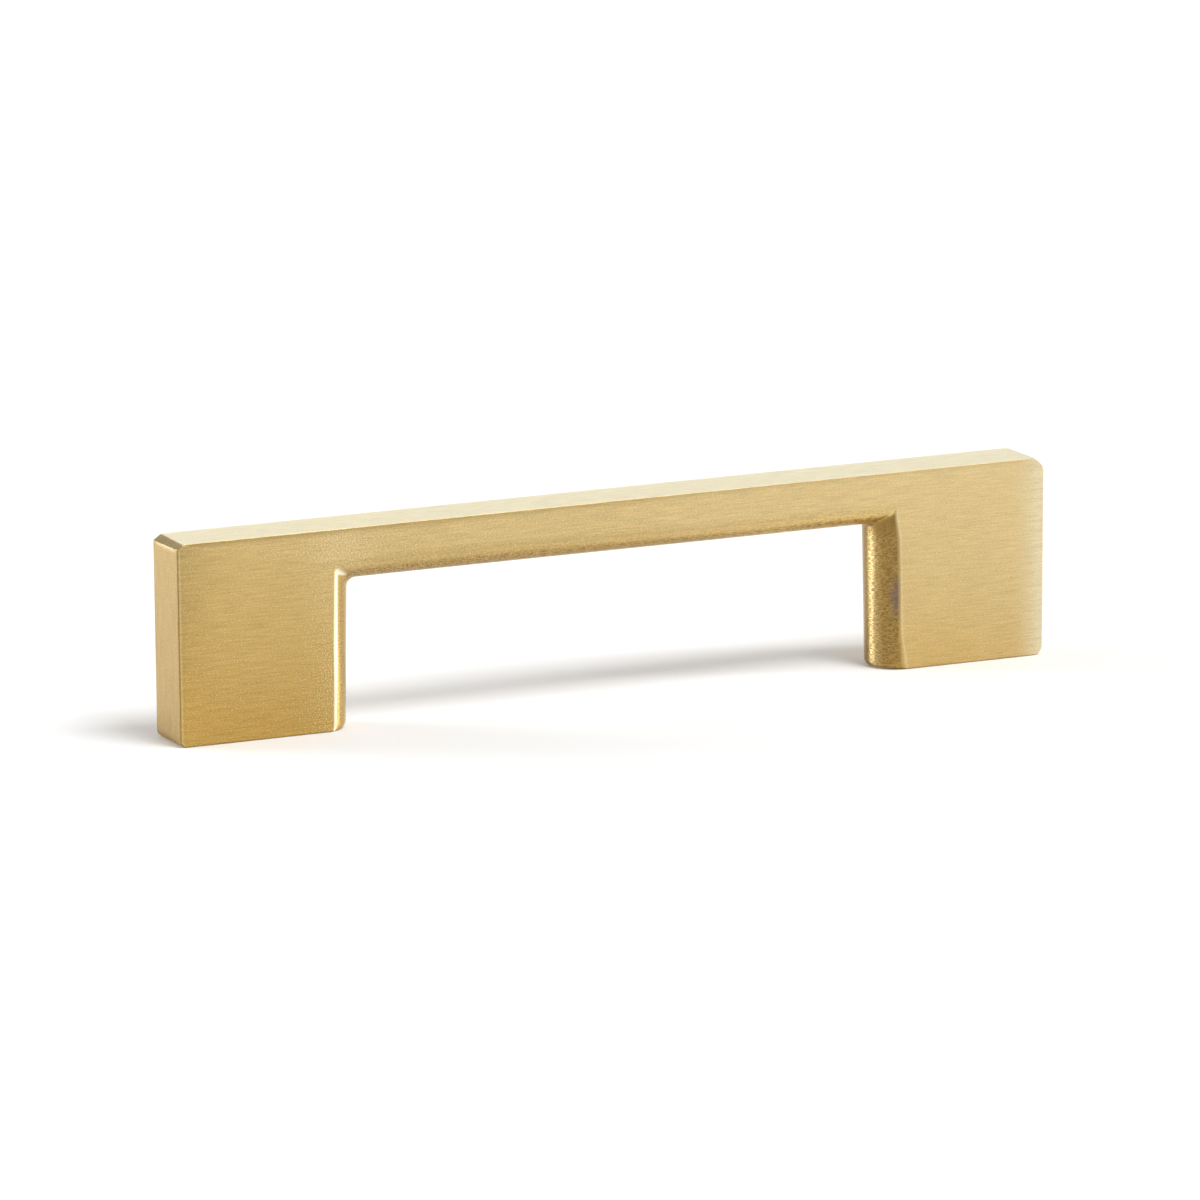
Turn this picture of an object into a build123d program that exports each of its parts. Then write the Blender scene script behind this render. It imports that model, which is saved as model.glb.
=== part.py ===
from build123d import *
import os
from math import cos, radians, sin, tan

# Cabinet pull handle, one solid of brass, in millimetres.
# Origin: middle of the mounting plane, halfway between the screws. X runs along the bar,
# Y through the thickness with the front face at -Y, Z away from the panel the handle is screwed to.

# Overall form
overall_length = 127.0    # end to end, just under the chamfered top corners
projection = 27.1         # mounting plane to the outside of the bar
thickness = 8.0           # front face to back face
bar_depth = 7.4           # outside of the bar to the nose of its inner round
leg_width = 25.1          # end to the nose of the inner round, level with the bar's underside

# Casting draft: each leg narrows towards its foot, on both sides
end_draft_deg = 0.45
inner_draft_deg = 0.9

# The rounded inside edge that the fingers meet: half-round on the legs, flatter under the bar
round_start_deg = 12.0    # turn at the crisp line where a leg's round leaves the front and back faces
bar_round_depth = 2.1     # depth of the round under the bar
bar_line_radius = 1.6     # softens the line where the bar's round leaves the front and back faces
valley_radius = 1.2       # blend where the rounds of leg and bar run into each other

# Hand-finished outer edges
corner_chamfer = 0.9      # top corner at each end
edge_break = 0.25         # long outer edges of the front and back faces
foot_break = 0.35         # rim of each foot, filed at 45 degrees

# Tapped holes for machine screws put in from behind the panel, number 8 with 32 threads to the inch
screw_centres = 101.6
tap_drill_diameter = 3.454
thread_depth = 11.0       # straight wall at the tap drill's diameter
drill_point_deg = 118.0
mouth_diameter = 4.5      # countersunk mouth
mouth_angle_deg = 90.0

# Derived places
half_length = overall_length / 2
underside = projection - bar_depth
bar_middle = projection - bar_depth / 2
nose_at_bar = half_length - leg_width
round_start = radians(round_start_deg)
inner_draft = radians(inner_draft_deg)
nose_radius = thickness / 2 / cos(round_start)
nose_depth = nose_radius * (1 - sin(round_start))
round_top = underside + bar_round_depth


def leg_end(z):
    """Distance of a leg's outer end from the middle, at height z."""
    widest = projection - corner_chamfer
    return half_length - (widest - z) * tan(radians(end_draft_deg))


def leg_nose(z):
    """Distance of the nose of a leg's inner round from the middle, at height z."""
    return nose_at_bar + (underside - z) * tan(inner_draft)


def leg_face(z):
    """Distance from the middle of the line where a leg's flat face ends and its round starts."""
    return leg_nose(z) + nose_depth / cos(inner_draft)


def plate():
    """The U-shaped plate, as far in as the lines where the inner round starts."""
    outline = Polyline(
        (-leg_end(0), 0),
        (-leg_end(projection), projection),
        (leg_end(projection), projection),
        (leg_end(0), 0),
        (leg_face(0), 0),
        (leg_face(round_top), round_top),
        (-leg_face(round_top), round_top),
        (-leg_face(0), 0),
        close=True,
    )
    return extrude(Plane.XZ * make_face(outline), amount=thickness / 2, both=True)


def round_section(depth):
    """Round across the thickness, with its nose at the local origin and its flat side at x = depth."""
    arc = ThreePointArc(
        (depth, -thickness / 2),
        (0, 0),
        (depth, thickness / 2),
    )
    return make_face([arc, Line(arc @ 1, arc @ 0)])


def leg_round(side):
    """Half-round inside edge of one leg, square to its draft; side is -1 or 1."""
    lean = (-side * sin(inner_draft), 0, cos(inner_draft))
    into_leg = (side * cos(inner_draft), 0, sin(inner_draft))
    start = Plane(origin=(side * leg_nose(0), 0, 0), x_dir=into_leg, z_dir=lean)
    below_foot = nose_depth * tan(inner_draft)
    length = below_foot + round_top / cos(inner_draft)
    rod = extrude(start.offset(-below_foot) * round_section(nose_depth), amount=length)
    return split(rod, bisect_by=Plane.XY, keep=Keep.TOP)


def bar_round():
    """Rounded underside of the bar, reaching into both legs as far as their flat faces."""
    middle = Plane(origin=(0, 0, underside), x_dir=(0, 0, 1), z_dir=(1, 0, 0))
    return extrude(middle * round_section(bar_round_depth), amount=leg_face(round_top), both=True)


def valley_edges(body):
    """The curved edges where the round of a leg runs into the round of the bar."""
    curved = body.edges().filter_by(GeomType.LINE, reverse=True)
    return [edge for edge in curved if edge.bounding_box().max.Z > underside]


def bar_line_edges(body):
    """The two long lines where the bar's round leaves the front and back faces."""
    lengthwise = body.edges().filter_by(Axis.X)
    return lengthwise.filter_by_position(Axis.Z, underside, bar_middle)


def end_corner_edges(body):
    """The top edge at each end, running front to back."""
    return body.edges().filter_by(Axis.Y).sort_by(Axis.Z)[-2:]


def outer_face_edges(body):
    """Edges of the front and back faces along the ends, the top corners and the top."""
    middle_of_leg = half_length - leg_width / 2
    faces = body.faces().sort_by(Axis.Y)
    found = []
    for edge in faces[0].edges() + faces[-1].edges():
        place = edge.center()
        along_end = abs(place.X) > middle_of_leg and place.Z > corner_chamfer
        if along_end or place.Z > bar_middle:
            found.append(edge)
    return found


def foot_edges(body):
    """All edges round both feet."""
    return body.edges().group_by(Axis.Z)[0]


def screw_hole():
    """Cutter for one tapped hole, mouth at the local origin, running up +Z."""
    drill_radius = tap_drill_diameter / 2
    mouth_radius = mouth_diameter / 2
    mouth_depth = (mouth_radius - drill_radius) / tan(radians(mouth_angle_deg / 2))
    wall_end = mouth_depth + thread_depth
    point_depth = drill_radius / tan(radians(drill_point_deg / 2))
    half_profile = Polyline(
        (0, 0),
        (mouth_radius, 0),
        (drill_radius, mouth_depth),
        (drill_radius, wall_end),
        (0, wall_end + point_depth),
        close=True,
    )
    return revolve(Plane.XZ * make_face(half_profile), axis=Axis.Z)


def pull_handle():
    """The finished handle."""
    body = plate() + bar_round() + leg_round(-1) + leg_round(1)
    body = fillet(valley_edges(body), valley_radius)
    body = fillet(bar_line_edges(body), bar_line_radius)
    body = chamfer(end_corner_edges(body), corner_chamfer)
    body = chamfer(foot_edges(body), foot_break)
    body = fillet(outer_face_edges(body), edge_break)
    for side in (-1, 1):
        body -= Pos(side * screw_centres / 2, 0, 0) * screw_hole()
    return body


os.makedirs("parts", exist_ok=True)
export_step(pull_handle().solid(), "parts/pull_handle.step")
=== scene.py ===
from dataclasses import dataclass
from math import copysign, cos, hypot, pi, radians, sin, sqrt, tan
from typing import Callable

import bpy
from mathutils import Matrix, Vector
from mathutils.geometry import tessellate_polygon


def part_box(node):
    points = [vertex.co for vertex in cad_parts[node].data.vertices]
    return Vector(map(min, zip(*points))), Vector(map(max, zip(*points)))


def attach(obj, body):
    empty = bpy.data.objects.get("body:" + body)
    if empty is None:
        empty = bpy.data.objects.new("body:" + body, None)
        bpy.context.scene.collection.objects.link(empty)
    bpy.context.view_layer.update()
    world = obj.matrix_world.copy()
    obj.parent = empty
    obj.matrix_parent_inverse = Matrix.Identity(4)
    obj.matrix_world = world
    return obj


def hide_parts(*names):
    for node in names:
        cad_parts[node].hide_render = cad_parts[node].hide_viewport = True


# A cabinet pull of solid brass, hand finished: brushed flat faces and a filed, rounded inside edge.
# Lengths of the handle are in millimetres, and MM turns them into the scene's metres. Heights are
# above the feet, and places along the handle are from its middle. Where the two sides differ, -1 is
# the left one and 1 the right one, as seen from the front.

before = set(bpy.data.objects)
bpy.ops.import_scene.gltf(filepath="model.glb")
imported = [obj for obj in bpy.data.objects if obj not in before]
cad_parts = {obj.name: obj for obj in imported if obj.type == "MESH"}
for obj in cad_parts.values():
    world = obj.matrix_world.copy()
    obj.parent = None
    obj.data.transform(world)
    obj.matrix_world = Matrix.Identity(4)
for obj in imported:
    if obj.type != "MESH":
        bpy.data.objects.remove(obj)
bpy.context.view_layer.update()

MM = 0.001
NODE = "pull_handle"

# Overall sizes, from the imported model
_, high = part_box(NODE)
HALF_LENGTH = high.x / MM
HALF_THICKNESS = high.y / MM
PROJECTION = high.z / MM

# Form of the handle; its opening sits a little off the middle
BAR_DEPTH = 7.4
LEG_WIDTH = {-1: 25.50, 1: 24.94}
END_DRAFT = radians(0.45)
INNER_DRAFT = radians(0.9)
CREASE_TURN = radians(12)            # turn where a leg's round leaves the flat face
NOSE_DEPTH = HALF_THICKNESS / cos(CREASE_TURN) * (1 - sin(CREASE_TURN))
BAR_ROUND_DEPTH = 2.08               # the bar's round is flatter
UNDERSIDE = PROJECTION - BAR_DEPTH

# Hand finishing of the inside round
VALLEY_NOSE = {-1: 1.35, 1: 0.5}     # radius of the inside corner at the nose of the round
VALLEY_CREASE = {-1: 0.9, 1: 0.3}    # and at the crease
CREASE_SOFTNESS = 0.08               # depth over which a leg's crease is softened
BAR_SOFTNESS = 0.6                   # and the bar's
BAR_ROUND_WANDER = 0.36              # the bar's round is deeper in its left half and shallower in its right
BAR_ROUND_RUNOUT = 0.32              # and gets shallower still at the right inside corner
RUNOUT_SHARE = 0.86                  # from this share of the bar on
CREASE_WANDER = 0.75                 # the right crease runs out towards the foot by this much
WANDER_HEIGHT = 5.5                  # below this height
CREASE_BOW = 0.45                    # and bows in towards the inside corner by this much
BOW_HEIGHT = 4.0                     # over this height

# Hand finishing of the outer edges
CORNER_CHAMFER = {-1: (0.8, 0.66), 1: (1.3, 1.1)}   # along the top and down the end
CORNER_ROUND = {-1: (0.15, 1.0), 1: (1.8, 1.8)}     # rounding of the chamfer's lower and upper edge
CORNER_WIDEN = {-1: (0.3, 0.15), 1: (0.0, 0.0)}     # how much further it runs and drops at the back
WIDEN_REACH = (0.6, 4.0)             # distances from the edge over which this fades
END_BREAK = {-1: 0.25, 1: 0.1}       # rounding of the face's edges along the ends
TOP_BREAK = 0.12                     # and along the top
END_ROLL = {-1: (0.9, 0.3, 0.09), 1: (2.1, 1.15, 0.05)}   # start, full slope from, slope of the roll-off
TOP_ROLL = (0.6, 0.2, 0.06)
FOOT_ROUND_NOSE = 0.95               # rounding of the foot's rim at the nose of the inside round
FOOT_ROUND_END = {-1: 1.0, 1: 1.3}   # at the end
FOOT_ROUND_FACE = 0.2                # and along the faces

# Tapped holes, number 8-32
SCREW_CENTRES = 101.6
TAP_DRILL_RADIUS = 1.727
THREAD_MAJOR_RADIUS = 2.083
THREAD_PITCH = 25.4 / 32
THREAD_DEPTH = 11.0
THREAD_FLANK = 1.6                   # rise of a flank over half a pitch, in depths of the thread
THREAD_FLAT = 0.3                    # what is cut off at either end of that rise
THREAD_RUNOUT = 1.5                  # turns over which the thread ends
MOUTH_RADIUS = 2.25
DRILL_POINT = radians(118)

# Mesh density
ROUND_STEPS = 22
ROUND_TURN = (pi / 2 - CREASE_TURN) / ROUND_STEPS
ROUND_ROWS = [sin(k * ROUND_TURN) / cos(CREASE_TURN) for k in range(ROUND_STEPS)]
ROUND_ROWS += [0.9957, 0.999, 1.0]   # the softened line where the round leaves the face
ROUND_END = 0.998                    # share of the half thickness from which the face's brush lines run
FACE_START = 0.25                    # distance of the face's first row from the round
FLAT_STEPS = 4
ROLL_ROWS = (2.1, 1.7, 1.35, 1.05, 0.8, 0.6, 0.45, 0.34)   # distances from the outer edge
FILLET_STEPS = 5
SIDE_ROWS = (0.94, 0.6, 0.3)         # shares of the half thickness
FOOT_ROWS = (0, 0.02, 0.05, 0.1, 0.15, 0.2, 0.28, 0.38, 0.5, 0.64, 0.8, 0.95)
LEG_STEP = 0.6
TILT_START = 4.0                     # height from which a leg's lines start to tilt with the valley
BAR_STEP = 0.8
CORNER_STEPS = (8, 4, 5, 14)         # end, each chamfer edge, chamfer, top
STRAIGHT = 0.95                      # an outline this near to an axis counts as the end or the top
HOLE_SEGMENTS = 48
ROWS_PER_PITCH = 12

# Filed finish: shares of the half thickness over which it fades, and how much there is before and after
LEG_FILED = {-1: (0.90, 1.0, 1.0, 0.1), 1: (0.97, 1.0, 1.0, 0.0)}
BAR_FILED = {-1: (0.82, 1.0, 1.0, 0.3), 1: (0.86, 1.0, 0.9, 0.3)}
FACE_FILED = 0.65                    # share of the amount after that is left on the face's first row
CORNER_CHANGE = (0.35, 0.65)         # shares of the turn over which the leg's finish becomes the bar's

# Wear, painted highlight and painted shade of the inside round, dark at -1 and bright at 1
CREASE_SHARE = 0.997                 # share of the half thickness where a crease starts
CREASE_WEAR = {-1: 0.0, 1: 0.2}
CREASE_WEAR_END = (0.0, 0.35)        # shares of the turn into the bar over which it ends
VALLEY_SHADE = {-1: 0.0, 1: -0.7}     # painted shade in the middle of the inside corner
VALLEY_SHARE = 0.2                   # share of the turn over which it fades to either side
HIGHLIGHT_LINE = {-1: 1.0, 1: 0.0}          # painted highlight: a bright line beside the leg's crease
HIGHLIGHT_ROWS = (0.94, 0.968)            # shares of the half thickness over which it sets in
HIGHLIGHT_VALLEY_ROWS = (0.76, 0.87)      # and over which it does in the inside corner
HIGHLIGHT_LIMIT = 0.99                 # share where it ends
HIGHLIGHT_TURN = (0.2, 0.6)            # shares of the turn into the bar over which it widens
HIGHLIGHT_END = (0.5, 0.85)            # and over which it ends

# Wear and painted edge highlight and shade of the outside: over the last rows of a face, its broken edge
# and the first row of the side beyond
END_WEAR_AND_SHADING = {
    -1: (-0.05, -0.12, 0.0, 0.12, 0.22, 0.12, -0.3, -0.72, -0.7, -0.4, 0.0),
    1: (0.0, 0.0, 0.0, 0.0, 0.0, -0.1, -0.25, -0.4, -0.45, -0.35, 0.0),
}
TOP_WEAR_AND_SHADING = {
    -1: (-0.1, -0.18, -0.27, -0.34, -0.4, -0.25, 0.1, 0.5, 0.6, 0.5, 0.2),
    1: (0.0, -0.02, -0.05, -0.1, -0.15, -0.1, 0.1, 0.4, 0.5, 0.4, 0.2),
}
CHAMFER_LIGHTENING = 0.05                  # painted light on the left chamfer
SHOULDER_SHADING = {0: 0.5, 2: -0.5}    # painted highlight and shade on the lines at its lower edge, by their number from where it starts

# Colours of the brass, linear
# The faces' deep and pale colours; the tone between them is painted shade and light, deeper at the left and
# the feet
BRASS_DEEP_SHADED = (0.575, 0.372, 0.106, 1)
BRASS_PALE_LIT = (0.785, 0.602, 0.297, 1)
# painted shade: the ends are darker than the faces
BRASS_END_SHADED = (0.575, 0.415, 0.19, 1)
# painted highlight: the top is paler
BRASS_TOP_LIT = (0.86, 0.79, 0.57, 1)
# painted highlight: the pale band at the right end
BRASS_SHEEN = (0.83, 0.71, 0.46, 1)
# painted glints on the faces
BRASS_GLINT = (0.95, 0.80, 0.47, 1)
# Filed colours, partly painted shade and light: darker on the right leg and the bar, paler on the left leg
FILED_SHADED = (0.49, 0.32, 0.10, 1)
FILED_FINE_LIT = (0.67, 0.47, 0.17, 1)
FILED_BAR_SHADED = (0.635, 0.415, 0.12, 1)
FILED_GOLD = (0.88, 0.62, 0.17, 1)
FILED_GROOVE = (0.31, 0.19, 0.055, 1)
FILED_DIP = (0.42, 0.29, 0.11, 1)
# file ridges with painted highlight
FILED_RIDGE_HIGHLIGHT = (0.84, 0.66, 0.33, 1)
FILED_SPECK = (0.17, 0.10, 0.035, 1)
# bright wear and painted highlight
BRIGHT_WEAR_AND_HIGHLIGHT = (0.96, 0.87, 0.64, 1)
# dark wear and painted shade
DARK_WEAR_AND_SHADE = (0.25, 0.165, 0.045, 1)
# a darker purple-brown patch
DARK_PATCH = (0.24, 0.165, 0.135, 1)

# Noise in the finish: features per millimetre along and across the brush lines, detail and roughness
PATTERNS = {
    "streaks": (0.20, 4.5, 3.0, 0.65),
    "hairs": (0.45, 9.0, 2.0, 0.6),
    "grain": (3.6, 5.5, 2.0, 0.6),
    "specks": (5.0, 6.5, 1.0, 0.5),
    "marks": (1.1, 3.4, 1.0, 0.5),
    "dashes": (1.6, 7.0, 1.0, 0.5),
    "blots": (2.2, 1.9, 2.0, 0.6),
    "grit": (2.6, 6.5, 1.0, 0.5),
}
NOISE_MIDDLE = 0.5

# In the finish below, a reach holds the places between which something grows from nothing to full,
# and a ramp holds two values of a pattern or place and the shares that they stand for

# Tone of the faces, deep at TONE_START and pale 1 above it: painted shade and light, deeper towards the
# left and the feet and paler towards the right and the top
PAINTED_LIGHT_SLOPE = (0.0054, 0.0, 0.0225)   # change of the painted light and shade per millimetre along each axis
TONE_START = -0.04
TONE_CLOUD = 0.3                     # how much a soft cloud adds
CLOUD_SCALE = (0.05, 0.05, 0.05)
SHEEN_REACH = (58.2, 62.6)          # painted highlight: the right end is paler
SHEEN_CURVE = 2.0                   # by this power of the way
TOP_REACH = (PROJECTION - 0.1, PROJECTION - 0.02)   # the painted-shade colour of the ends turns into the painted-highlight colour of the top

# Shade of the faces, a factor on their colour, and what the patterns add to it
SHADE_START = 0.715
HAIR_SHADE = 0.23
GRAIN_SHADE = 0.34
STREAK_SHADE = (0.38, 0.5)           # least and most
STREAK_REACH = (-30.0, -58.0)        # the faces are streakier towards the left end
LIVELY_REACH = (38.0, 10.0)          # and along the bar, apart from its right
SHADED = -0.16                       # they are darker towards the left end and the top
SHADED_ACROSS = (-58.0, -62.0)
SHADED_UP = (6.0, 25.0)

# Painted glints: bright specks in the faces' colour
GLINT_RAMP = (0.67, 0.75, 0.0, 0.6)
LIVELY_GLINTS = 0.055                # they are denser where the bar is streakier
HAZE_GLINTS = 0.13                   # and beside the left leg's crease
HAZE_PLACE = -40.0
HAZE_REACH = (7.0, 1.5)              # distances from that place

# File marks on the bar's round and the right leg's
GROOVE_RAMP = (0.78, 1.16)
RIDGE_RAMP = (0.36, 0.64)
HIGHLIGHT_RIDGED_REACH = (0.3, 0.75)           # distances from the middle of the thickness where a leg's ridges, with painted highlight, start
HIGHLIGHT_RIDGED_END = (2.8, 1.2)              # and where they end, counted backwards
PIT_RAMP = (0.42, 0.32, 0.0, 0.55)
BLOTCH_RAMP = (0.54, 0.40, 0.0, 0.7)
# painted glints on the bar's round, towards the left inside corner
GLINT_FLECK_RAMP = (0.56, 0.63, 0.0, 0.55)
ROUGH_RAMP = (0.0, -34.0, 0.25, 1.0)   # the bar's round is rougher towards the left inside corner
GOLD_REACH = (10.0, 34.0)            # and turns golden towards the right one
SHADE_PIT_REACH = (15.5, 19.5)            # painted shade on the right leg's round: denser dark pits towards it
SHADE_PITS = -0.09
UNDER_BAR_SHADE_RAMP = (18.0, 19.4, 0.0, 0.6)    # and painted shade, darkest right under the bar
BACK_SHADE_RAMP = (-0.8, 0.3, 0.0, 0.75)   # and painted shade towards the back
FRECKLE_RAMP = (0.55, 0.40, 0.0, 0.75)   # dark freckles on the left leg's round, which is filed finer

# Darker purple-brown patch beside the right leg's crease
DARK_PATCH_PLACE = (41.4, -3.7, 10.0)
DARK_PATCH_SIZE = (1.1, 2.0, 3.6)
DARK_PATCH_RAGGED = 0.8                 # how much the file marks move its edge
DARK_PATCH_RAMP = (0.5, 1.5, 0.85, 0.0)

# Roughness and relief of the finish
FACE_ROUGHNESS = (0.3, 0.7, 0.38, 0.46)
ROUND_ROUGHNESS = (0.3, 0.7, 0.27, 0.36)
ANISOTROPY = 0.8
ACROSS_BRUSH = 0.25                  # turn of the anisotropy from the brush lines, in full turns
FACE_RELIEF = 0.012                  # depth of the brush lines
FILE_RELIEF = 0.03                   # and of the file marks
FINE_RELIEF = 0.02                   # which are finer on the left leg
HAIR_HEIGHT = 0.5                    # heights of the other patterns, where the streaks have 1
GRAIN_HEIGHT = 0.8
GRIT_HEIGHT = 0.7
DASH_HEIGHT = 0.6

# Floor
FLOOR_COLOUR = (0.95, 0.95, 0.95, 1)
FLOOR_ROUGHNESS = 0.9
FLOOR_HALF_SIZE = 4.0                # in metres
FLOOR_GAP = 0.02                     # between the feet and the floor
CONTACT_REACH = 0.3                  # how near the floor is left out of the light on the feet

# Camera, from edges measured in the photograph
CAMERA_AZIMUTH = radians(25.459)
CAMERA_ELEVATION = radians(12.207)
CAMERA_ROLL = radians(-0.273)
CAMERA_DISTANCE = 1622.8
CAMERA_TARGET = Vector((-0.78, 0.0, 12.96))
CAMERA_LENS = 367.2
CAMERA_SENSOR = 36
CAMERA_CLIP = (0.01, 50)             # in metres

# Studio: azimuths from the front (-Y) towards +X, and angles, in degrees; distances and sizes in metres
ROOM_COLOUR = (0.52, 0.52, 0.52, 1)
ROOM_DARK = (0.08, 0.08, 0.08, 1)
DARK_AZIMUTH = -38
DARK_REACH = (0.25, 0.8)             # cosines of the angle to it over which the room gets dark
MAIN_LIGHT = dict(azimuth=25, elevation=62, spread=26, strength=1.75)
PANELS = {
    "right_panel": dict(azimuth=71, elevation=12, distance=0.55, size=(0.075, 0.24), radiance=20.0),
    "left_panel": dict(azimuth=-123, elevation=14, distance=0.6, size=(0.22, 0.34), radiance=7.8),
    "backdrop_panel": dict(azimuth=158, elevation=10, distance=0.9, size=(0.9, 0.20), radiance=1.4),
}


def mix(a, b, share):
    return a + (b - a) * share


def mix_all(a, b, share):
    return tuple(mix(p, q, share) for p, q in zip(a, b))


def smooth(value, start, end):
    """Eased share from 0 at start to 1 at end."""
    share = min(1.0, max(0.0, (value - start) / (end - start)))
    return share * share * (3 - 2 * share)


def length_between(a, b):
    return (Vector(a) - Vector(b)).length


class Round:
    """Section of an inside round: an arc over the thickness, softened where it leaves the faces."""

    def __init__(self, half, depth, softness):
        self.half = half
        self.radius = (half ** 2 + depth ** 2) / (2 * depth)
        self.start = depth - softness
        self.start_y = sqrt(self.radius ** 2 - (self.radius - self.start) ** 2)
        slope = (self.radius - self.start) / self.start_y
        self.middle = self.start + (half - self.start_y) / slope
        self.end = self.middle + hypot(self.middle - self.start, half - self.start_y)

    def depth_at(self, y):
        """Distance from the nose to the line at y from the middle of the thickness."""
        if y <= self.start_y:
            return self.radius - sqrt(self.radius ** 2 - y ** 2)
        rest = sqrt(max(0.0, self.half - y) / (self.half - self.start_y))
        share = 1 - rest
        return rest ** 2 * self.start + 2 * rest * share * self.middle + share ** 2 * self.end


@dataclass
class Line:
    """One line across the face, from the nose of the inside round to the outer edge."""

    inner: Callable       # (x, z) at distances from the nose of the leg's round and of the bar's
    outer: tuple          # (x, z) on the outer edge
    inward: tuple         # unit vector square to the outer edge, into the face
    half: float           # half the thickness
    leg_round: Round
    bar_round: Round
    filed: tuple          # where the filed finish starts and ends to fade, and how much before and after
    on_bar: float         # 0 on a leg, 1 on the bar
    edge_break: float     # radius of the outer edge
    edge_wear_and_shading: tuple
    crease_wear: float = 0.0
    highlight_line: float = 0.0
    highlight_rows: tuple = HIGHLIGHT_ROWS
    valley_shade: float = 0.0
    side_shading: float = 0.0
    widen: tuple = (0.0, 0.0)    # how far the outer edge is drawn in and down at the back

    def round_wear_and_shading(self, share):
        """Wear, painted highlight and painted shade of the inside round at a share of the half thickness.
        """
        if share > CREASE_SHARE:
            return self.crease_wear
        # painted highlight beside the crease
        if self.highlight_line and self.highlight_rows[0] < share < HIGHLIGHT_LIMIT:
            return self.highlight_line * smooth(share, *self.highlight_rows)
        return self.valley_shade


def leg_end(z):
    """Distance of a leg's outer end from the middle, at height z."""
    return HALF_LENGTH - max(0.0, PROJECTION - z) * tan(END_DRAFT)


def leg_nose(side, z):
    """Distance of the nose of a leg's round from the middle, at height z."""
    return HALF_LENGTH - LEG_WIDTH[side] + (UNDERSIDE - z) * tan(INNER_DRAFT)


def valley_radius(side, depth):
    """Radius of the inside corner at a distance from the nose."""
    return mix(VALLEY_NOSE[side], VALLEY_CREASE[side], min(1.0, depth / NOSE_DEPTH))


def valley_start(side, leg, bar):
    """Height at which the line at these distances from the noses starts to turn into the bar."""
    return UNDERSIDE + bar - valley_radius(side, leg)


def bar_round(share):
    """The bar's round at a share of the way from the left corner to the right one."""
    depth = BAR_ROUND_DEPTH + BAR_ROUND_WANDER * sin(2 * pi * share)
    depth -= BAR_ROUND_RUNOUT * smooth(share, RUNOUT_SHARE, 1.0)
    return Round(HALF_THICKNESS, depth, BAR_SOFTNESS)


def corner_bar_round(side):
    """The bar's round at an inside corner."""
    return bar_round((side + 1) / 2)


def corner_depth(side):
    """Depth of a leg's round at the inside corner."""
    return NOSE_DEPTH - CREASE_BOW if side > 0 else NOSE_DEPTH


def foot_inset(z, radius):
    """How far a surface is drawn in at height z by the rounded rim of the foot."""
    if z >= radius:
        return 0.0
    return radius - sqrt(radius * radius - (radius - z) ** 2)


def roll_off(distance, roll):
    """How far the face falls away at a distance from its edge."""
    start, full, slope = roll
    curved = max(0.0, min(start - distance, start - full))
    return slope * curved ** 2 / (2 * (start - full)) + slope * max(0.0, full - distance)


def relief(x, z):
    """How far the hand-finished face lies under its true plane."""
    side = 1 if x > 0 else -1
    at_end = roll_off(leg_end(z) - abs(x), END_ROLL[side])
    return at_end + roll_off(PROJECTION - z, TOP_ROLL)


def leg_line(side, height):
    """A line across a leg; the lines tilt with the valley towards the top of the leg."""
    top = valley_start(side, 0, 0)
    tilt = smooth(height, TILT_START, top)
    nose_inset = foot_inset(height, FOOT_ROUND_NOSE)
    wander = CREASE_WANDER * (1 - smooth(height, 0, WANDER_HEIGHT)) if side > 0 else 0.0
    depth = mix(NOSE_DEPTH + wander, corner_depth(side), smooth(height, top - BOW_HEIGHT, top))
    half = HALF_THICKNESS - foot_inset(height, FOOT_ROUND_FACE)
    leg = Round(half, depth - nose_inset, CREASE_SOFTNESS)
    bar = corner_bar_round(side)

    def inner(leg_depth, bar_depth):
        z = height + tilt * (valley_start(side, leg_depth, bar_depth) - top)
        return side * (leg_nose(side, z) + nose_inset + leg_depth), z

    level = inner(leg.end, bar.end)[1]
    return Line(
        inner=inner,
        outer=(side * (leg_end(level) - foot_inset(height, FOOT_ROUND_END[side])), level),
        inward=(-side, 0),
        half=half,
        leg_round=leg,
        bar_round=bar,
        filed=LEG_FILED[side],
        on_bar=0.0,
        edge_break=END_BREAK[side],
        edge_wear_and_shading=END_WEAR_AND_SHADING[side],
        crease_wear=CREASE_WEAR[side],
        highlight_line=HIGHLIGHT_LINE[side],
    )


def straight_points(start, end, direction, steps):
    """Points of a straight stretch of outline, each with its direction."""
    return [(start.lerp(end, k / steps), direction) for k in range(steps + 1)]


def rounded_points(corner, before, after, radius, steps):
    """Points of the arc between two directions at a corner, and how far the arc reaches from it."""
    turn = before.angle(after)
    inward = (after - before).normalized()
    centre = corner + inward * (radius / cos(turn / 2))
    arc = []
    for k in range(1, steps):
        direction = before.lerp(after, k / steps).normalized()
        normal = Vector((-direction.y, direction.x))
        if normal.dot(corner - centre) < 0:
            normal = -normal
        arc.append((centre + normal * radius, direction))
    return arc, radius * tan(turn / 2)


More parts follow.
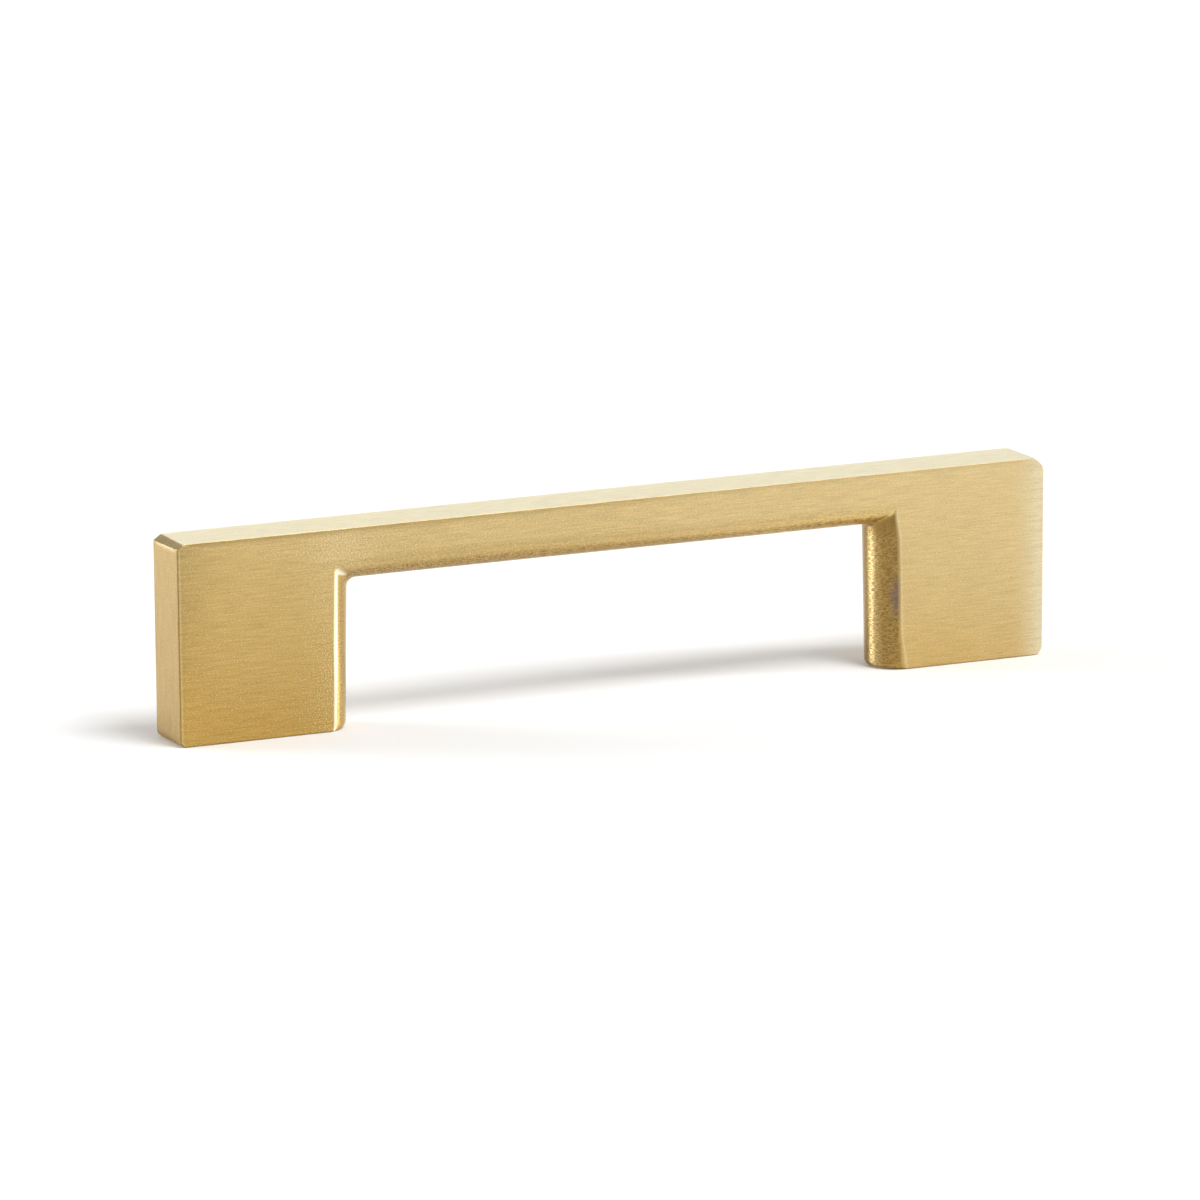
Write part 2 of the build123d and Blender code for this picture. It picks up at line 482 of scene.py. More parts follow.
def corner_outline(side):
    """Points and directions along the end, over the chamfered corner and along the top."""
    run, rise = CORNER_CHAMFER[side]
    leg = Round(HALF_THICKNESS, corner_depth(side), CREASE_SOFTNESS)
    start = valley_start(side, leg.end, corner_bar_round(side).end)
    shoulder = PROJECTION - rise
    a = Vector((leg_end(start), start))
    b = Vector((leg_end(shoulder), shoulder))
    c = Vector((leg_end(PROJECTION) - run, PROJECTION))
    d = Vector((leg_nose(side, start) + leg.end - VALLEY_CREASE[side], PROJECTION))
    up = (b - a).normalized()
    over = (c - b).normalized()
    along = (d - c).normalized()
    end_steps, edge_steps, chamfer_steps, top_steps = CORNER_STEPS
    lower_round, upper_round = CORNER_ROUND[side]
    lower_arc, lower_reach = rounded_points(b, up, over, lower_round, edge_steps)
    upper_arc, upper_reach = rounded_points(c, over, along, upper_round, edge_steps)
    end = straight_points(a, b - up * lower_reach, up, end_steps)
    chamfer = straight_points(b + over * lower_reach, c - over * upper_reach, over, chamfer_steps)
    top = straight_points(c + along * upper_reach, d, along, top_steps)
    return end + lower_arc + chamfer + upper_arc + top


def shoulder_shading(side, rank):
    """Painted light and shade of the outer side at a point of the corner's outline."""
    if side > 0:
        return 0.0
    end, edge, chamfer, _ = CORNER_STEPS
    if end + edge <= rank <= end + edge + chamfer:
        return CHAMFER_LIGHTENING
    return SHOULDER_SHADING.get(rank - end, 0.0)


def corner_widen(side, rank):
    """How far a point of the corner's outline is drawn in and down at the back."""
    end, edge, chamfer, _ = CORNER_STEPS
    if rank < end or rank > end + 2 * edge + chamfer:
        return 0.0, 0.0
    run, drop = CORNER_WIDEN[side]
    upper = min(1.0, max(0.0, (rank - end - edge) / chamfer))
    return run * upper, drop * (1 - upper)


def corner_edge_wear_and_shading(side, along):
    """Wear and painted highlight and shade of the face's edge along the end or the top; the chamfer's edge
    has none.
    """
    if abs(along.x) > STRAIGHT:
        return TOP_WEAR_AND_SHADING[side]
    return END_WEAR_AND_SHADING[side] if abs(along.y) > STRAIGHT else ()


def corner_inner(side, turn):
    """Places on a line at a turn around the inside corner, from the leg to the bar."""

    def inner(leg_depth, bar_depth):
        radius = valley_radius(side, leg_depth)
        level = valley_start(side, leg_depth, bar_depth)
        across = leg_nose(side, level) + leg_depth - radius
        return side * (across + radius * cos(turn)), level + radius * sin(turn)

    return inner


def corner_lines(side):
    """Lines that fan out from an inside corner to the end, the chamfered corner and the top."""
    outline = corner_outline(side)
    leg = Round(HALF_THICKNESS, corner_depth(side), CREASE_SOFTNESS)
    bar = corner_bar_round(side)
    lines = []
    for rank, (point, along) in enumerate(outline):
        share = rank / (len(outline) - 1)
        inward = Vector((along.y, -along.x))
        if inward.dot(point) > 0:
            inward = -inward
        lines.append(Line(
            inner=corner_inner(side, share * pi / 2),
            outer=(side * point.x, point.y),
            inward=(side * inward.x, inward.y),
            half=HALF_THICKNESS,
            leg_round=leg,
            bar_round=bar,
            filed=mix_all(LEG_FILED[side], BAR_FILED[side], share),
            on_bar=smooth(share, *CORNER_CHANGE),
            edge_break=mix(END_BREAK[side], TOP_BREAK, abs(along.x)),
            edge_wear_and_shading=corner_edge_wear_and_shading(side, along),
            crease_wear=CREASE_WEAR[side] * (1 - smooth(share, *CREASE_WEAR_END)),
            highlight_line=HIGHLIGHT_LINE[side] * (1 - smooth(share, *HIGHLIGHT_END)),
            highlight_rows=mix_all(HIGHLIGHT_ROWS, HIGHLIGHT_VALLEY_ROWS, smooth(share, *HIGHLIGHT_TURN)),
            # painted shade in the middle of the inside corner
            valley_shade=VALLEY_SHADE[side] * max(0.0, 1 - abs(share - 0.5) / VALLEY_SHARE),
            side_shading=shoulder_shading(side, rank),
            widen=corner_widen(side, rank),
        ))
    return lines


def bar_line(share):
    """A line across the bar, at a share of the way from the left corner to the right one."""
    leg = Round(HALF_THICKNESS, mix(corner_depth(-1), corner_depth(1), share), CREASE_SOFTNESS)
    bar = bar_round(share)

    def end(side, leg_depth, bar_depth):
        level = valley_start(side, leg_depth, bar_depth)
        return side * (leg_nose(side, level) + leg_depth - valley_radius(side, leg_depth))

    def inner(leg_depth, bar_depth):
        ends = (end(side, leg_depth, bar_depth) for side in (-1, 1))
        return mix(*ends, share), UNDERSIDE + bar_depth

    return Line(
        inner=inner,
        outer=(inner(leg.end, bar.end)[0], PROJECTION),
        inward=(0, -1),
        half=HALF_THICKNESS,
        leg_round=leg,
        bar_round=bar,
        filed=mix_all(BAR_FILED[-1], BAR_FILED[1], share),
        on_bar=1.0,
        edge_break=TOP_BREAK,
        edge_wear_and_shading=mix_all(TOP_WEAR_AND_SHADING[-1], TOP_WEAR_AND_SHADING[1], share),
    )


def leg_heights(side):
    """Heights of the lines across a leg, denser at the foot."""
    top = valley_start(side, 0, 0)
    count = round((top - FOOT_ROWS[-1]) / LEG_STEP)
    return list(FOOT_ROWS) + [mix(FOOT_ROWS[-1], top, k / count) for k in range(1, count)]


def all_lines():
    """Lines from the left foot up the leg, along the bar and down to the right foot."""
    left = [leg_line(-1, z) for z in leg_heights(-1)] + corner_lines(-1)
    right = [leg_line(1, z) for z in leg_heights(1)] + corner_lines(1)
    count = round(2 * (HALF_LENGTH - max(LEG_WIDTH.values())) / BAR_STEP)
    bar = [bar_line(k / count) for k in range(1, count)]
    return left + bar + right[::-1]


def front_points(line):
    """Points from the nose to the middle of the outer side, their zones, filed finish, and wear with
    painted light and shade.
    """
    points, zones, filed, wear_and_shading = [], [], [], []
    inside = "under" if line.on_bar > 0.5 else "round"

    def add(place, y, zone, rough=0.0, worn_and_shaded=0.0):
        points.append((place[0], -y, place[1]))
        zones.append(zone)
        filed.append(rough)
        wear_and_shading.append(worn_and_shaded)

    fade_start, fade_end, most, rest = line.filed
    for share in ROUND_ROWS:
        y = share * line.half
        place = line.inner(line.leg_round.depth_at(y), line.bar_round.depth_at(y))
        zone = inside if share < ROUND_END else "flat"
        rough = mix(most, rest, smooth(share, fade_start, fade_end))
        add(place, y - relief(*place), zone, rough, line.round_wear_and_shading(share))
    place = line.inner(line.leg_round.end + FACE_START, line.bar_round.end + FACE_START)
    add(place, line.half - relief(*place), "flat", rest * FACE_FILED)

    start = Vector(place)
    outer = Vector(line.outer)
    back = (start - outer).normalized()
    slant = back.dot(Vector(line.inward))

    def from_edge(distance):
        return outer + back * (distance / slant)

    first = from_edge(ROLL_ROWS[0])
    for k in range(1, FLAT_STEPS):
        place = start.lerp(first, k / FLAT_STEPS)
        add(place, line.half - relief(*place), "flat")
    for distance in ROLL_ROWS:
        place = from_edge(distance)
        add(place, line.half - relief(*place), "flat")
    for k in range(FILLET_STEPS + 1):
        turn = k / FILLET_STEPS * pi / 2
        place = from_edge(line.edge_break * (1 - sin(turn)))
        zone = "flat" if k < FILLET_STEPS else "side"
        add(place, line.half - relief(*place) - line.edge_break * (1 - cos(turn)), zone)
    reach = -points[-1][1]
    # painted light and shade on the side rows at the left chamfer
    for share in SIDE_ROWS:
        add(line.outer, reach * share, "side", worn_and_shaded=line.side_shading)
    add(line.outer, 0, "side", worn_and_shaded=line.side_shading)
    last = len(wear_and_shading) - len(SIDE_ROWS)
    # wear with painted highlight and shade along the outer edge
    wear_and_shading[last - len(line.edge_wear_and_shading):last] = line.edge_wear_and_shading
    return points, zones, filed, wear_and_shading


class MeshData:
    """Points in millimetres with their finish, wear and painted light and shade, and faces with brush
    coordinates and sides.
    """

    def __init__(self):
        self.vertices = []
        self.filed = []
        self.on_bar = []
        self.wear_and_shading = []
        self.faces = []
        self.brush = []
        self.side = []

    def add_vertices(self, points, filed=None, wear_and_shading=None, on_bar=0.0):
        """Adds points with their filed finish, wear and painted light and shade, and returns their numbers.
        """
        first = len(self.vertices)
        self.vertices.extend(points)
        self.filed.extend(filed or [0.0] * len(points))
        self.wear_and_shading.extend(wear_and_shading or [0.0] * len(points))
        self.on_bar.extend([on_bar] * len(points))
        return list(range(first, len(self.vertices)))

    def add_face(self, corners, brush, zone="flat"):
        self.faces.append(corners)
        self.brush.extend(brush)
        self.side.append(float(zone == "side"))

    def build(self, name):
        """A smooth mesh in metres that carries all of this."""
        mesh = bpy.data.meshes.new(name)
        mesh.from_pydata([Vector(v) * MM for v in self.vertices], [], self.faces)
        layer = mesh.uv_layers.new(name="Brush")
        layer.uv.foreach_set("vector", [value for uv in self.brush for value in uv])
        for attribute in ("filed", "on_bar", "wear_and_shading", "side"):
            domain = "FACE" if attribute == "side" else "POINT"
            layer = mesh.attributes.new(attribute, "FLOAT", domain)
            layer.data.foreach_set("value", getattr(self, attribute))
        mesh.shade_smooth()
        return mesh


class Ring:
    """One line all around the handle: its vertices, and what their brush coordinates come from."""

    def __init__(self, vertices, front, zones, before):
        self.vertices = vertices
        self.front = front
        self.zones = zones
        self.arc = [0.0]
        for a, b in zip(front, front[1:]):
            self.arc.append(self.arc[-1] + length_between(a, b))
        self.along_nose = 0.0
        self.along_edge = 0.0
        if before:
            self.along_nose = before.along_nose + length_between(front[0], before.front[0])
            self.along_edge = before.along_edge + length_between(front[-1], before.front[-1])

    def brush_at(self, step, zone, facing):
        """Brush coordinates of a point on the front, facing -1, or on the back, facing 1."""
        x, y, z = self.front[step]
        if zone == "round":
            return facing * self.arc[step], self.along_nose
        if zone == "under":
            return self.along_nose, facing * self.arc[step]
        if zone == "side":
            return self.along_edge, facing * y
        return x, z + (facing + 1) * PROJECTION


def both_faces(values):
    """Values of the front's points, and again for the back's in reverse order."""
    return values + values[-2:0:-1]


def drawn_in(line, point):
    """A point of the line, moved where the corner's chamfer widens towards the back."""
    x, y, z = point
    run, drop = line.widen
    near = 1 - smooth(hypot(x - line.outer[0], z - line.outer[1]), *WIDEN_REACH)
    share = near * (y + HALF_THICKNESS) / (2 * HALF_THICKNESS)
    return x - copysign(run * share, x), y, z - drop * share


def add_strip(data, ring, after):
    """Faces between two rings, on the front and on the back."""
    for step, zone in enumerate(ring.zones[:-1]):
        places = ((ring, step), (after, step), (after, step + 1), (ring, step + 1))
        front = [at.vertices[k] for at, k in places]
        data.add_face(front, [at.brush_at(k, zone, -1) for at, k in places], zone)
        places = places[::-1]
        back = [at.vertices[-k] for at, k in places]
        data.add_face(back, [at.brush_at(k, zone, 1) for at, k in places], zone)


def add_skin(data):
    """The outside of the handle as rings along the U; returns the vertices of the two at the feet."""
    rings = []
    before = None
    for line in all_lines():
        front, zones, filed, wear_and_shading = front_points(line)
        back = [(x, -y, z) for x, y, z in front[-2:0:-1]]
        points = [drawn_in(line, point) for point in front + back]
        vertices = data.add_vertices(points, both_faces(filed), both_faces(wear_and_shading), line.on_bar)
        before = Ring(vertices, front, zones, before)
        rings.append(before)
    for ring, after in zip(rings, rings[1:]):
        add_strip(data, ring, after)
    return rings[0].vertices, rings[-1].vertices


def thread_radius(z, turn, end):
    """Radius of the tapped wall; the thread fades out towards its end."""
    phase = (z / THREAD_PITCH - turn) % 1
    rise = min(1.0, max(0.0, THREAD_FLANK * (1 - abs(2 * phase - 1)) - THREAD_FLAT))
    fade = 1 - smooth(z, end - THREAD_RUNOUT * THREAD_PITCH, end)
    return mix(TAP_DRILL_RADIUS, THREAD_MAJOR_RADIUS, rise * fade)


def add_hole(data, side):
    """A tapped blind hole with a countersunk mouth; returns the mouth's vertices."""
    centre = side * SCREW_CENTRES / 2
    mouth_depth = MOUTH_RADIUS - TAP_DRILL_RADIUS
    end = mouth_depth + THREAD_DEPTH
    rows = round(THREAD_DEPTH / THREAD_PITCH * ROWS_PER_PITCH)
    turns = [k / HOLE_SEGMENTS for k in range(HOLE_SEGMENTS)]
    width = 2 * pi * TAP_DRILL_RADIUS / HOLE_SEGMENTS

    def ring(z, radii):
        points = []
        for turn, radius in zip(turns, radii):
            points.append((centre + radius * cos(2 * pi * turn), radius * sin(2 * pi * turn), z))
        return data.add_vertices(points)

    mouth = ring(0, [MOUTH_RADIUS] * HOLE_SEGMENTS)
    rings = [(mouth, 0)]
    for k in range(rows + 1):
        z = mix(mouth_depth, end, k / rows)
        rings.append((ring(z, [thread_radius(z, turn, end) for turn in turns]), z))
    for (lower, z0), (upper, z1) in zip(rings, rings[1:]):
        for k in range(HOLE_SEGMENTS):
            n = (k + 1) % HOLE_SEGMENTS
            u0 = k * width
            u1 = (k + 1) * width
            brush = [(u0, z0), (u0, z1), (u1, z1), (u1, z0)]
            data.add_face([lower[k], upper[k], upper[n], lower[n]], brush)
    last = rings[-1][0]
    point = data.add_vertices([(centre, 0, end + TAP_DRILL_RADIUS / tan(DRILL_POINT / 2))])[0]
    for k in range(HOLE_SEGMENTS):
        n = (k + 1) % HOLE_SEGMENTS
        data.add_face([last[k], point, last[n]], [(0, 0), (1, 1), (1, 0)])
    return mouth


def add_foot(data, rim, mouth):
    """The flat underside of one foot, between its rim and the mouth of its screw hole."""
    loops = [[Vector(data.vertices[v]) for v in loop] for loop in (rim, mouth)]
    order = rim + mouth
    for triangle in tessellate_polygon(loops):
        corners = [order[k] for k in triangle]
        a, b, c = (Vector(data.vertices[v]) for v in corners)
        if (b - a).cross(c - a).z > 0:
            corners.reverse()
        data.add_face(corners, [data.vertices[v][:2] for v in corners])


def make_handle():
    """The whole handle as one piece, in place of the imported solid."""
    data = MeshData()
    rims = add_skin(data)
    for side, rim in zip((-1, 1), rims):
        add_foot(data, rim, add_hole(data, side))
    mesh = data.build("handle")
    handle = bpy.data.objects.new("handle", mesh)
    bpy.context.scene.collection.objects.link(handle)
    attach(handle, "root")
    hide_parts(NODE)
    return handle


class Nodes:
    """Short forms for adding linked nodes to one node tree."""

    def __init__(self, tree):
        self.tree = tree

    def add(self, kind, inputs=(), **settings):
        """A node with its settings; inputs are (socket, value or output) pairs."""
        node = self.tree.nodes.new(kind)
        for name, value in settings.items():
            setattr(node, name, value)
        for socket, value in inputs:
            if isinstance(value, bpy.types.NodeSocket):
                self.tree.links.new(value, node.inputs[socket])
            else:
                node.inputs[socket].default_value = value
        return node

    def attribute(self, name):
        return self.add("ShaderNodeAttribute", attribute_name=name).outputs["Fac"]

    def math(self, operation, a, b=0.0, c=0.0):
        return self.add("ShaderNodeMath", [(0, a), (1, b), (2, c)], operation=operation).outputs[0]

    def times(self, a, b):
        return self.math("MULTIPLY", a, b)

    def rest(self, share):
        """What a share leaves of 1."""
        return self.math("SUBTRACT", 1.0, share)

    def weighted(self, value, weight, base):
        """The value times a weight, added to the base."""
        return self.math("MULTIPLY_ADD", value, weight, base)

    def vector(self, operation, a, b=(0, 0, 0)):
        """Vector math that gives a vector."""
        return self.add("ShaderNodeVectorMath", [(0, a), (1, b)], operation=operation).outputs["Vector"]

    def measure(self, operation, a, b=(0, 0, 0)):
        """Vector math that gives a number."""
        return self.add("ShaderNodeVectorMath", [(0, a), (1, b)], operation=operation).outputs["Value"]

    def scaled(self, vector, factor):
        node = self.add("ShaderNodeVectorMath", [(0, vector), ("Scale", factor)], operation="SCALE")
        return node.outputs["Vector"]

    def noise(self, coordinates, stretch, detail=2.0, roughness=0.5, dimensions="2D"):
        """Noise with so many features per unit along each coordinate."""
        texture = self.add(
            "ShaderNodeTexNoise",
            [
                ("Vector", self.vector("MULTIPLY", coordinates, stretch)),
                ("Scale", 1.0),
                ("Detail", detail),
                ("Roughness", roughness),
            ],
            noise_dimensions=dimensions,
        )
        return texture.outputs["Fac"]

    def ramp(self, value, low, high, to_low=0.0, to_high=1.0, eased=False):
        """The value mapped from low..high to to_low..to_high, and held there."""
        node = self.add(
            "ShaderNodeMapRange",
            [(0, value), (1, low), (2, high), (3, to_low), (4, to_high)],
            interpolation_type="SMOOTHSTEP" if eased else "LINEAR",
        )
        return node.outputs[0]

    def blend(self, share, a, b):
        """A colour between a and b."""
        return self.add("ShaderNodeMix", [(0, share), (6, a), (7, b)], data_type="RGBA").outputs[2]

    def between(self, share, a, b):
        """A number between a and b."""
        return self.add("ShaderNodeMix", [(0, share), (2, a), (3, b)]).outputs[0]


class BrassNodes(Nodes):
    """Nodes of the brass, with the places, attributes and noise patterns that its parts share."""

    def __init__(self, tree):
        super().__init__(tree)
        self.place = self.scaled(self.add("ShaderNodeTexCoord").outputs["Object"], 1 / MM)
        split = self.add("ShaderNodeSeparateXYZ", [(0, self.place)])
        self.x, self.y, self.z = (split.outputs[axis] for axis in "XYZ")
        self.filed = self.attribute("filed")
        self.side = self.attribute("side")
        self.wear_and_shading = self.attribute("wear_and_shading")
        self.on_bar = self.attribute("on_bar")
        self.on_leg = self.rest(self.on_bar)
        self.on_right_leg = self.times(self.on_leg, self.math("GREATER_THAN", self.x, 0.0))
        self.coarse = self.math("ADD", self.on_bar, self.on_right_leg)
        brush = self.add("ShaderNodeUVMap", uv_map="Brush").outputs["UV"]
        self.pattern = {}
        for name, (along, across, detail, roughness) in PATTERNS.items():
            self.pattern[name] = self.noise(brush, (along, across, 1), detail, roughness)


def toned_colour(brass):
    """Plain colour of the faces, the ends and the top, with painted light and shade: a gradient over the
    faces, a painted highlight at the right end, darker ends and a paler top.
    """
    cloud = brass.noise(brass.place, CLOUD_SCALE, dimensions="3D")
    # painted shade and light: the faces get deeper towards the left and the feet, paler towards the right
    # and the top
    tone = brass.weighted(cloud, TONE_CLOUD, brass.measure("DOT_PRODUCT", brass.place, PAINTED_LIGHT_SLOPE))
    face = brass.blend(brass.ramp(tone, TONE_START, TONE_START + 1), BRASS_DEEP_SHADED, BRASS_PALE_LIT)
    # painted highlight: a pale band along the right end
    sheen = brass.math("POWER", brass.ramp(brass.x, *SHEEN_REACH), SHEEN_CURVE)
    face = brass.blend(sheen, face, BRASS_SHEEN)
    # painted shade on the ends, painted highlight on the top
    shaded_ends_lit_top = brass.blend(brass.ramp(brass.z, *TOP_REACH), BRASS_END_SHADED, BRASS_TOP_LIT)
    return brass.blend(brass.side, face, shaded_ends_lit_top)


def face_colour(brass):
    """Brushed faces: fine lines and grain in the tone, and painted glints."""
    lively = brass.times(brass.on_bar, brass.ramp(brass.x, *LIVELY_REACH))
    streaky = brass.math("MAXIMUM", brass.ramp(brass.x, *STREAK_REACH), lively)
    streaks = brass.math("SUBTRACT", brass.pattern["streaks"], NOISE_MIDDLE)
    shade = brass.weighted(brass.pattern["hairs"], HAIR_SHADE, SHADE_START)
    shade = brass.weighted(streaks, brass.ramp(streaky, 0.0, 1.0, *STREAK_SHADE), shade)
    shade = brass.weighted(brass.pattern["grain"], GRAIN_SHADE, shade)
    shaded = brass.times(brass.ramp(brass.x, *SHADED_ACROSS), brass.ramp(brass.z, *SHADED_UP))
    shade = brass.weighted(brass.times(shaded, brass.rest(brass.side)), SHADED, shade)
    face = brass.scaled(toned_colour(brass), shade)

    # painted glints, denser beside the left leg's crease and along the bar
    from_haze = brass.math("ABSOLUTE", brass.math("SUBTRACT", brass.x, HAZE_PLACE))
    specks = brass.weighted(brass.ramp(from_haze, *HAZE_REACH), HAZE_GLINTS, brass.pattern["specks"])
    specks = brass.weighted(lively, LIVELY_GLINTS, specks)
    return brass.blend(brass.ramp(specks, *GLINT_RAMP), face, BRASS_GLINT)


def coarse_colour(brass):
    """Filed rounds of the bar and the right leg: grooves, ridges with painted highlight, pits, painted
    glints and painted shade.
    """
    specks = brass.pattern["specks"]
    gold = brass.times(brass.on_bar, brass.ramp(brass.x, *GOLD_REACH))
    # filed colour with painted shade on the right leg and the bar
    plain = brass.blend(brass.on_bar, FILED_SHADED, brass.blend(gold, FILED_BAR_SHADED, FILED_GOLD))
    marks = brass.math("ADD", brass.pattern["marks"], brass.pattern["grit"])
    colour = brass.blend(brass.ramp(marks, *GROOVE_RAMP), FILED_GROOVE, plain)

    off_middle = brass.math("ABSOLUTE", brass.y)
    # file marks with painted highlight, in the band of the right leg's round that catches light
    highlight_band = brass.times(brass.ramp(off_middle, *HIGHLIGHT_RIDGED_REACH), brass.ramp(off_middle, *HIGHLIGHT_RIDGED_END))
    highlight_ridges = brass.blend(brass.ramp(brass.pattern["dashes"], *RIDGE_RAMP), FILED_DIP, FILED_RIDGE_HIGHLIGHT)
    colour = brass.blend(brass.times(highlight_band, brass.on_leg), colour, highlight_ridges)

    # painted shade: denser dark pits towards the bar
    near_bar_shade = brass.times(brass.on_right_leg, brass.ramp(brass.z, *SHADE_PIT_REACH, eased=True))
    pits = brass.ramp(brass.weighted(near_bar_shade, SHADE_PITS, specks), *PIT_RAMP)
    rough = brass.times(brass.on_bar, brass.ramp(brass.x, *ROUGH_RAMP))
    blotches = brass.times(brass.ramp(brass.pattern["blots"], *BLOTCH_RAMP), rough)
    pits = brass.math("MAXIMUM", brass.times(pits, brass.rest(gold)), blotches)
    colour = brass.blend(pits, colour, FILED_SPECK)
    # painted glints
    fleck_glints = brass.times(brass.ramp(specks, *GLINT_FLECK_RAMP), rough)
    colour = brass.blend(fleck_glints, colour, FILED_RIDGE_HIGHLIGHT)

    # painted shade on the right leg's round, right under the bar and towards the back
    painted_shade = brass.math("MAXIMUM", brass.ramp(brass.y, *BACK_SHADE_RAMP), brass.ramp(brass.z, *UNDER_BAR_SHADE_RAMP))
    return brass.blend(brass.times(brass.on_right_leg, painted_shade), colour, FILED_GROOVE)


def round_colour(brass):
    """The inside rounds, filed finer and painted paler on the left leg, with a darker patch on the right
    one.
    """
    # the left leg's round is paler: filed colour with painted light
    fine = brass.blend(brass.ramp(brass.pattern["specks"], *FRECKLE_RAMP), FILED_FINE_LIT, FILED_GROOVE)
    colour = brass.blend(brass.coarse, fine, coarse_colour(brass))
    offset = brass.vector("SUBTRACT", brass.place, DARK_PATCH_PLACE)
    away = brass.measure("LENGTH", brass.vector("DIVIDE", offset, DARK_PATCH_SIZE))
    away = brass.weighted(brass.pattern["marks"], DARK_PATCH_RAGGED, away)
    return brass.blend(brass.ramp(away, *DARK_PATCH_RAMP, eased=True), colour, DARK_PATCH)


def finish_colour(brass):
    """The faces and the rounds, with bright and dark wear, painted highlights and painted shade on top."""
    colour = brass.blend(brass.filed, face_colour(brass), round_colour(brass))
    # bright wear and painted highlight, then dark wear and painted shade
    colour = brass.blend(brass.ramp(brass.wear_and_shading, 0.0, 1.0), colour, BRIGHT_WEAR_AND_HIGHLIGHT)
    return brass.blend(brass.ramp(brass.wear_and_shading, 0.0, -1.0), colour, DARK_WEAR_AND_SHADE)


def finish_roughness(brass):
    face = brass.ramp(brass.pattern["hairs"], *FACE_ROUGHNESS)
    rounds = brass.ramp(brass.pattern["grit"], *ROUND_ROUGHNESS)
    return brass.weighted(brass.filed, brass.math("SUBTRACT", rounds, face), face)


def finish_normal(brass):
    """Relief of the brush lines on the faces and of the file marks on the rounds."""
    fine = brass.weighted(brass.pattern["hairs"], HAIR_HEIGHT, brass.pattern["streaks"])
    fine = brass.weighted(brass.pattern["grain"], GRAIN_HEIGHT, fine)
    coarse = brass.times(brass.pattern["dashes"], DASH_HEIGHT)
    coarse = brass.weighted(brass.pattern["grit"], GRIT_HEIGHT, coarse)
    depth = brass.ramp(brass.coarse, 0.0, 1.0, FINE_RELIEF, FILE_RELIEF)
    height = brass.between(brass.filed, brass.times(fine, FACE_RELIEF), brass.times(coarse, depth))
    bump = brass.add("ShaderNodeBump", [("Height", height), ("Strength", 1.0), ("Distance", MM)])
    return bump.outputs["Normal"]


def new_material(name):
    material = bpy.data.materials.new(name)
    material.use_nodes = True
    tree = material.node_tree
    return material, tree, tree.nodes["Principled BSDF"]


def brass_material():
    """Satin brass: fine brush lines on the faces, coarser file marks on the inside round."""
    material, tree, shader = new_material("brushed_brass")
    brass = BrassNodes(tree)
    tangent = brass.add("ShaderNodeTangent", direction_type="UV_MAP", uv_map="Brush")
    tree.links.new(finish_colour(brass), shader.inputs["Base Color"])
    tree.links.new(finish_roughness(brass), shader.inputs["Roughness"])
    tree.links.new(finish_normal(brass), shader.inputs["Normal"])
    tree.links.new(tangent.outputs["Tangent"], shader.inputs["Tangent"])
    shader.inputs["Metallic"].default_value = 1.0
    shader.inputs["Anisotropic"].default_value = ANISOTROPY
    shader.inputs["Anisotropic Rotation"].default_value = ACROSS_BRUSH
    return material


def floor_material():
    """Plain white; clear from below and right under the feet and holes, so that they are seen and lit."""
    material, tree, shader = new_material("white_floor")
    shader.inputs["Base Color"].default_value = FLOOR_COLOUR
    shader.inputs["Roughness"].default_value = FLOOR_ROUGHNESS
    shader.inputs["Specular IOR Level"].default_value = 0.0
    nodes = Nodes(tree)
    geometry = nodes.add("ShaderNodeNewGeometry")
    below = geometry.outputs["Backfacing"]
    mirrored = nodes.vector("ABSOLUTE", geometry.outputs["Position"])
    hole = (SCREW_CENTRES / 2 * MM, 0, FLOOR_GAP * MM)
    under_hole = nodes.math("LESS_THAN", nodes.measure("DISTANCE", mirrored, hole), MOUTH_RADIUS * MM)
    ray_length = nodes.add("ShaderNodeLightPath").outputs["Ray Length"]
    touching = nodes.math("LESS_THAN", ray_length, CONTACT_REACH * MM)
    left_out = nodes.math("MAXIMUM", below, nodes.math("MAXIMUM", touching, under_hole))
    clear = nodes.add("ShaderNodeBsdfTransparent").outputs["BSDF"]
    surface = nodes.add("ShaderNodeMixShader", [(0, left_out), (1, shader.outputs["BSDF"]), (2, clear)])
    tree.links.new(surface.outputs["Shader"], tree.nodes["Material Output"].inputs["Surface"])
    return material


def make_floor():
    """A wide floor right under the feet."""
    size = FLOOR_HALF_SIZE
    corners = [(-size, -size, 0), (size, -size, 0), (size, size, 0), (-size, size, 0)]
    mesh = bpy.data.meshes.new("floor")
    mesh.from_pydata(corners, [], [(0, 1, 2, 3)])
    floor = bpy.data.objects.new("floor", mesh)
    floor.location.z = -FLOOR_GAP * MM
    bpy.context.scene.collection.objects.link(floor)
    floor.data.materials.append(floor_material())


